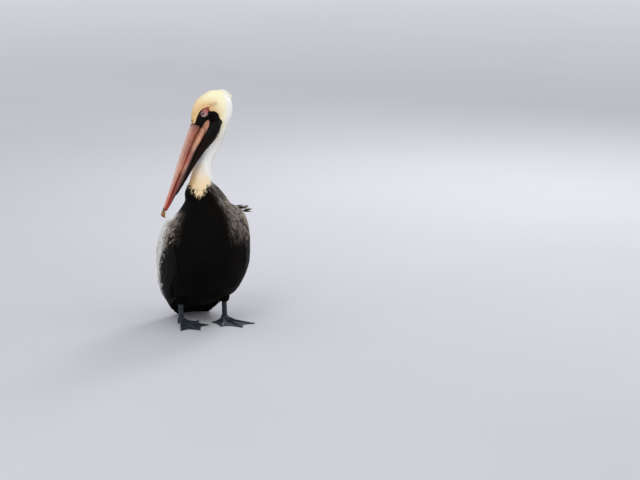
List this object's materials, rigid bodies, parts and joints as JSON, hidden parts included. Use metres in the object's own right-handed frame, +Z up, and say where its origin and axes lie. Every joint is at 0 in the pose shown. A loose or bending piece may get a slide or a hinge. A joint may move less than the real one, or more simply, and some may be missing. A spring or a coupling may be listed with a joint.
{
  "type": "life-size model of a brown pelican",
  "caption": "Life-size still model of an adult brown pelican standing at rest, wings closed, pale head turned to its right, long bill pointing down beside its neck.",
  "frame": {"origin": "bottom centre of the whole bird's box, on the floor under the body", "axes": "+Z up, the bird faces -Y, its left side is +X"},
  "size_m": [0.287, 0.2934, 0.7002],
  "materials": {
    "dark_plumage": "matt feathers with a slight sheen",
    "silver_plumage": "matt silver-grey feathers with dark edges",
    "white_plumage": "soft short white feathers",
    "yellow_plumage": "soft short pale yellow feathers",
    "bill_horn": "satin horn",
    "nail_horn": "satin horn",
    "pouch_skin": "thin bare skin, finely folded",
    "leg_skin": "scaled bare skin, slightly damp",
    "eye": "wet and glossy"
  },
  "bodies": {
    "root": {"trunk": "dark_plumage", "tail": "dark_plumage", "neck_lower": "white_plumage", "neck_middle": "white_plumage", "neck_upper": "white_plumage", "head": "yellow_plumage", "bill_upper": "bill_horn", "bill_nail": "nail_horn", "bill_lower": "bill_horn", "pouch": "pouch_skin", "eye_left": "eye", "wing_left": "silver_plumage", "primaries_left": "dark_plumage", "thigh_left": "dark_plumage", "tarsus_left": "leg_skin", "foot_left": "leg_skin", "eye_right": "eye", "wing_right": "silver_plumage", "primaries_right": "dark_plumage", "thigh_right": "dark_plumage", "tarsus_right": "leg_skin", "foot_right": "leg_skin"}
  },
  "joints": []
}
